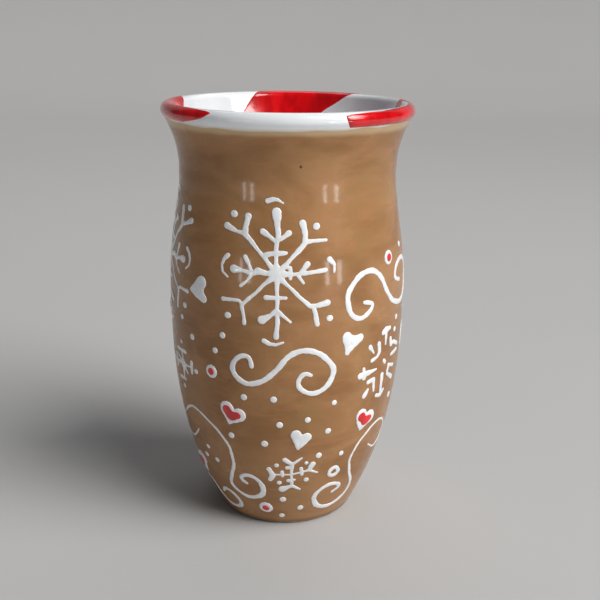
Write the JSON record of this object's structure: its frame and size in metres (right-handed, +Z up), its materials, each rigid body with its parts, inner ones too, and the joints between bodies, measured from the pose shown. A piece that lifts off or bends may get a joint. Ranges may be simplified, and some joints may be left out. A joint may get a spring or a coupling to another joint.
{
  "type": "handleless stoneware mug",
  "caption": "Tall handleless stoneware mug with a flared rolled lip, full belly, brown glaze, white liner, red lip stripes and trailed white snowflakes, scrolls and hearts.",
  "frame": {"origin": "centre of the foot ring's standing face, on the table", "axes": "+Z up along the mug's axis; the front of the decoration faces -Y"},
  "size_m": [0.0904, 0.0902, 0.1552],
  "materials": {
    "bare_clay": "matte",
    "brown_glaze": "gloss",
    "white_glaze": "gloss",
    "red_glaze": "gloss",
    "white_slip": "gloss"
  },
  "bodies": {
    "root": {"back_heart": "white_slip", "back_left_heart_edge": "white_slip", "back_left_red_heart": "red_glaze", "back_left_scroll": "white_slip", "back_lip_stripe": "red_glaze", "back_middle_scroll": "white_slip", "back_right_heart_edge": "white_slip", "back_right_red_heart": "red_glaze", "back_right_scroll": "white_slip", "back_snowflake": "white_slip", "back_top_snowflake": "white_slip", "back_upper_scroll": "white_slip", "brown_glaze": "brown_glaze", "clay_body": "bare_clay", "dot_rings": "white_slip", "foot_heart_edge": "white_slip", "foot_red_heart": "red_glaze", "foot_scroll": "white_slip", "front_snowflake": "white_slip", "left_back_snowflake": "white_slip", "left_heart": "white_slip", "left_heart_edge": "white_slip", "left_lip_stripe": "red_glaze", "left_low_scroll": "white_slip", "left_red_heart": "red_glaze", "left_snowflake": "white_slip", "left_top_snowflake": "white_slip", "liner_glaze": "white_glaze", "low_heart": "white_slip", "middle_scroll": "white_slip", "open_ring": "white_slip", "red_dots": "red_glaze", "right_heart": "white_slip", "right_heart_edge": "white_slip", "right_lip_stripe": "red_glaze", "right_low_scroll": "white_slip", "right_red_heart": "red_glaze", "right_snowflake": "white_slip", "side_heart": "white_slip", "side_middle_scroll": "white_slip", "small_front_snowflake": "white_slip", "small_left_snowflake": "white_slip", "small_right_snowflake": "white_slip", "upper_scroll": "white_slip", "white_dots": "white_slip"}
  },
  "joints": []
}
